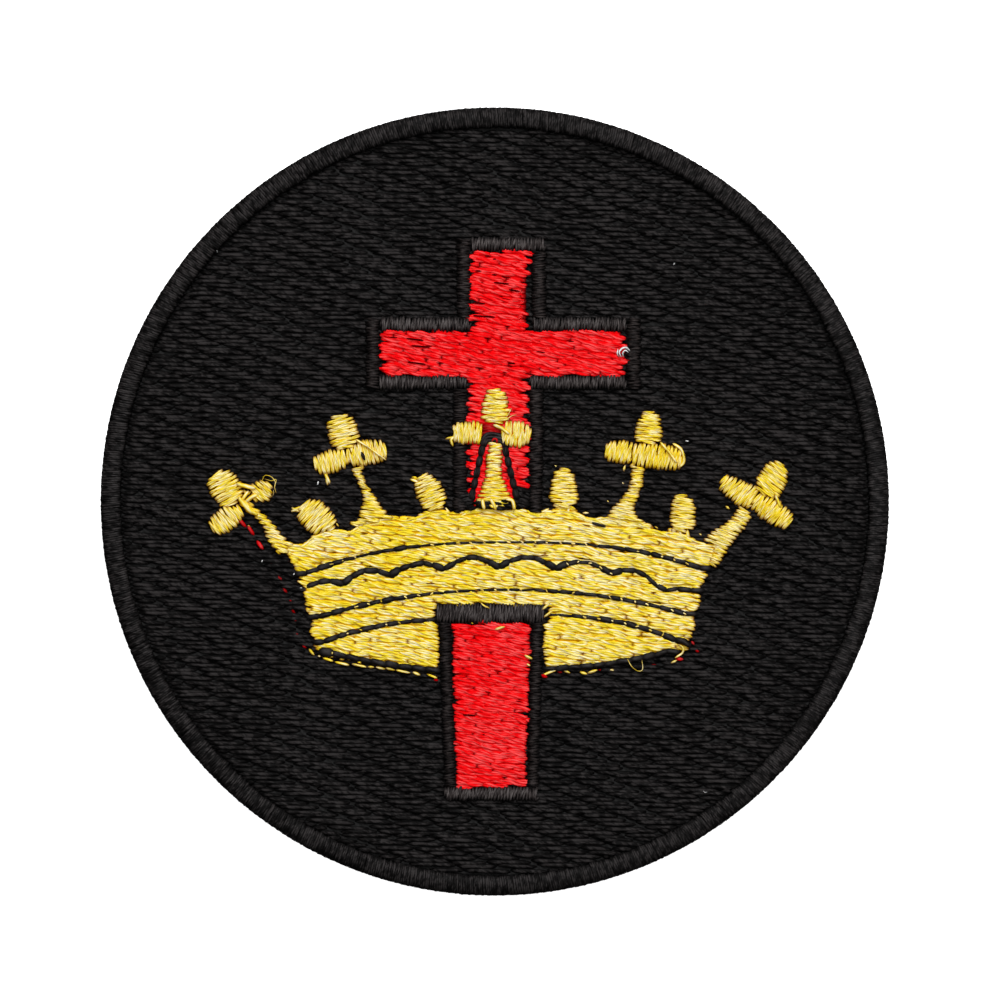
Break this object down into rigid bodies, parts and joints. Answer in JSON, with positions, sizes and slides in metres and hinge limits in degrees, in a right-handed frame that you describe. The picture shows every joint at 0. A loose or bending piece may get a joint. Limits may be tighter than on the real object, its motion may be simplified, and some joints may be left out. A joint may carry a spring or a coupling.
{
  "type": "embroidered patch",
  "caption": "Round embroidered patch with a red cross through a gold crown on a black stitched ground, in a raised black stitched border, to be sewn or ironed on cloth.",
  "frame": {"origin": "middle of the flat back face, on the surface that the patch lies on", "axes": "+Z out of the stitched face, +Y to the top of the emblem, +X to its right as it is looked at"},
  "size_m": [0.0762, 0.0762, 0.0022],
  "materials": {
    "cloth": "plain black twill with a stiff backing, matt",
    "ground_thread": "black polyester thread in brick-laid fill stitches, a dull sheen along the thread",
    "border_thread": "black polyester thread wrapped square over the edge, dull sheen",
    "outline_thread": "black polyester thread in satin and running stitches, soft sheen",
    "red_thread": "bright red polyester thread in fill stitches, silky sheen",
    "gold_thread": "golden yellow polyester thread in fill and satin stitches, silky sheen"
  },
  "bodies": {
    "root": {"base_cloth": "cloth", "ground_fill": "ground_thread", "edge_border": "border_thread", "cross_fill": "red_thread", "foot_fill": "red_thread", "crown_band": "gold_thread", "outline_head_top": "outline_thread", "outline_head_left": "outline_thread", "outline_head_right": "outline_thread", "outline_left_upper": "outline_thread", "outline_left_end": "outline_thread", "outline_left_lower": "outline_thread", "outline_right_upper": "outline_thread", "outline_right_end": "outline_thread", "outline_right_lower": "outline_thread", "outline_shaft_left_high": "outline_thread", "outline_shaft_left_low": "outline_thread", "outline_shaft_right": "outline_thread", "foot_frame_top": "outline_thread", "foot_frame_left": "outline_thread", "foot_frame_right": "outline_thread", "foot_frame_bottom": "outline_thread", "line_upper": "outline_thread", "line_scalloped": "outline_thread", "line_middle": "outline_thread", "line_lens_left": "outline_thread", "line_lens_right": "outline_thread", "line_hem_left": "outline_thread", "line_hem_right": "outline_thread", "stem_1": "gold_thread", "stem_2": "gold_thread", "stem_3": "gold_thread", "stem_4": "gold_thread", "stem_5": "gold_thread", "leaf_1_top": "gold_thread", "leaf_1_left": "gold_thread", "leaf_1_right": "gold_thread", "leaf_2_top": "gold_thread", "leaf_2_left": "gold_thread", "leaf_2_right": "gold_thread", "leaf_3_top": "gold_thread", "leaf_3_left": "gold_thread", "leaf_3_right": "gold_thread", "leaf_4_top": "gold_thread", "leaf_4_left": "gold_thread", "leaf_4_right": "gold_thread", "leaf_5_top": "gold_thread", "leaf_5_left": "gold_thread", "leaf_5_right": "gold_thread", "stem_edge_left": "outline_thread", "stem_edge_right": "outline_thread", "stem_edge_top": "outline_thread", "bud_1": "gold_thread", "bud_2": "gold_thread", "bud_3": "gold_thread", "bud_4": "gold_thread"}
  },
  "joints": []
}
